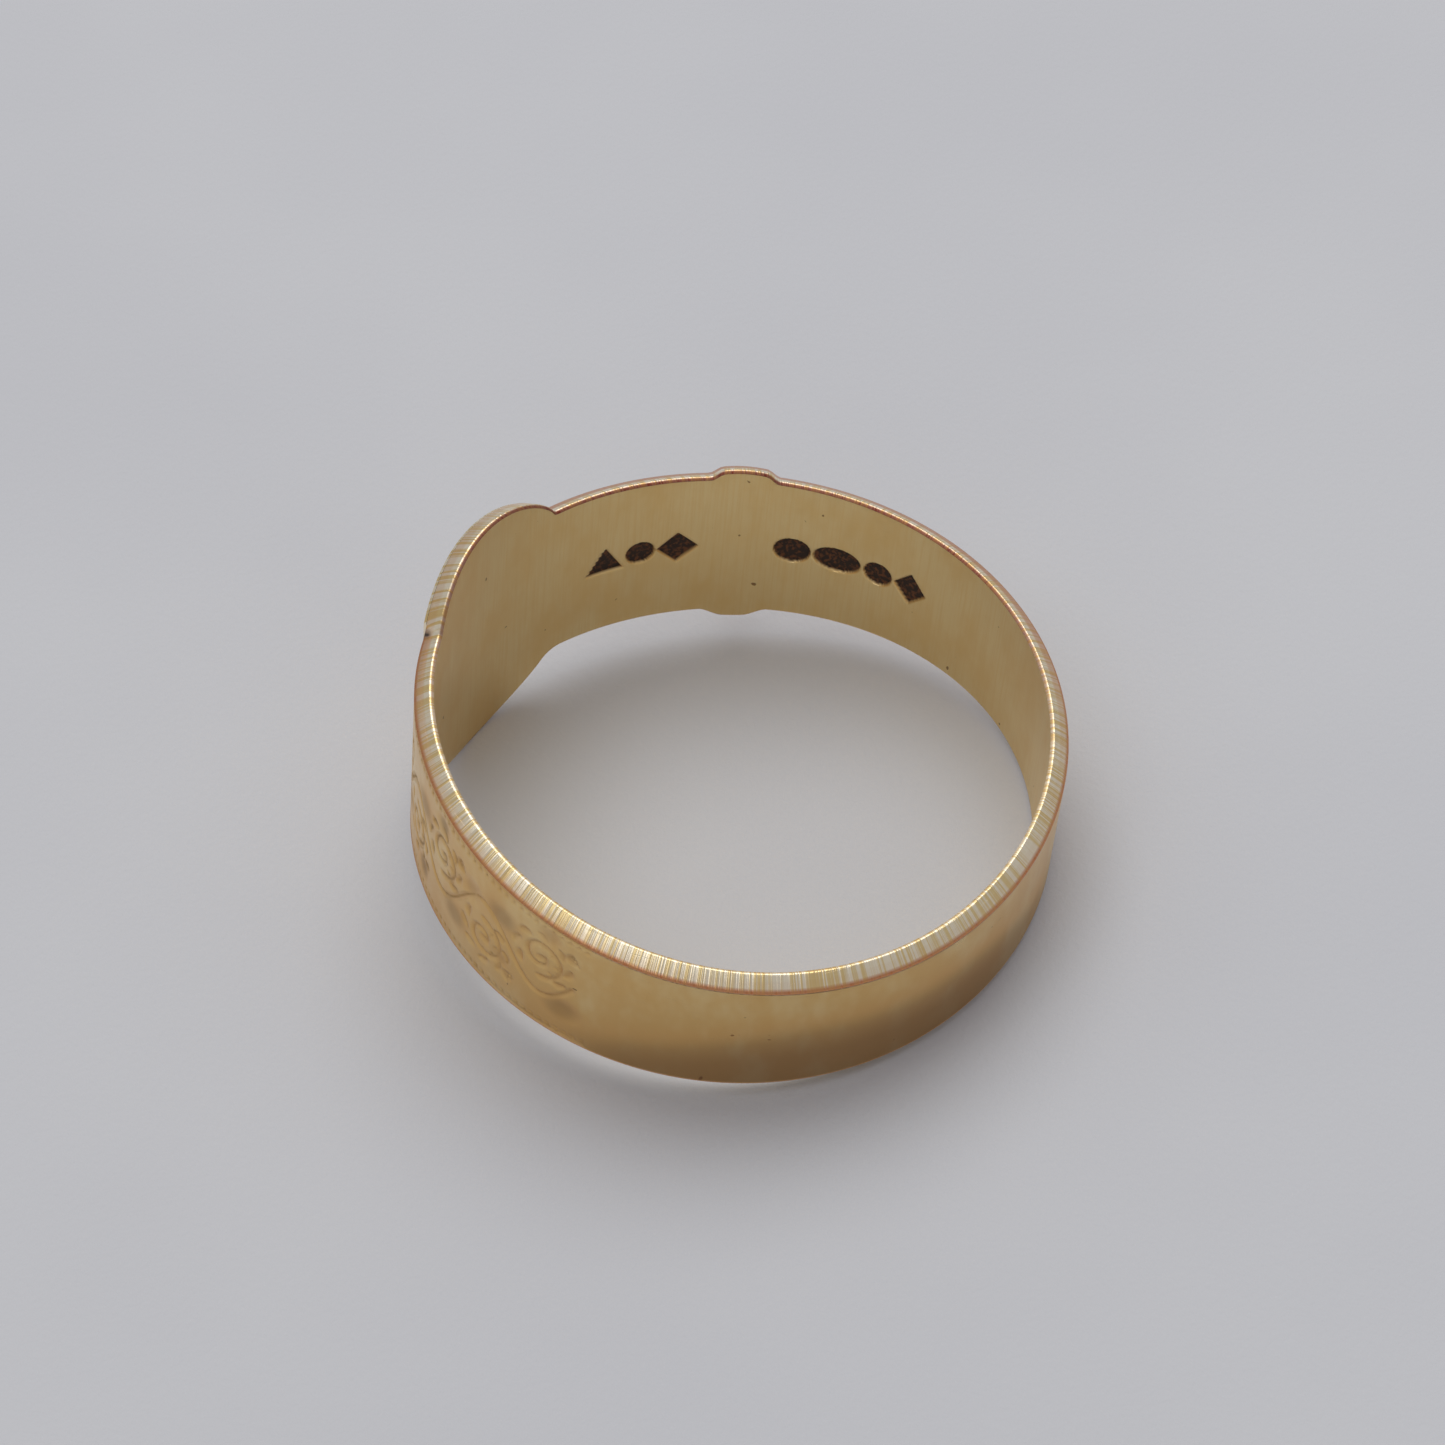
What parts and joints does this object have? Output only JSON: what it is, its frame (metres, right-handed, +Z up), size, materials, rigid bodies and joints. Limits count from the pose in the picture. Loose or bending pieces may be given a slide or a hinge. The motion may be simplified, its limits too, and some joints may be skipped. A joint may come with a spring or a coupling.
{
  "type": "buckle ring",
  "caption": "Strap-like gold band ring with an arched buckle head, window frame, tongue, pointed belt end and keeper loop soldered on its outer face.",
  "frame": {"origin": "on the table under the middle of the ring's box, with the ring lying on its rim", "axes": "+Z up from the table the ring lies on, -Y towards the middle of the buckle, +X towards the side without the keeper"},
  "size_m": [0.0194, 0.0202, 0.0093],
  "materials": {
    "band_gold": "satin 9 carat yellow gold, filed rims, fine polishing lines inside",
    "belt_gold": "engraved 9 carat yellow gold with tarnish in the cuts",
    "buckle_gold": "worn polish, 9 carat yellow gold"
  },
  "bodies": {
    "root": {"band": "band_gold", "belt_end": "belt_gold", "buckle_frame": "buckle_gold", "buckle_tongue": "buckle_gold", "keeper_loop": "buckle_gold"}
  },
  "joints": []
}
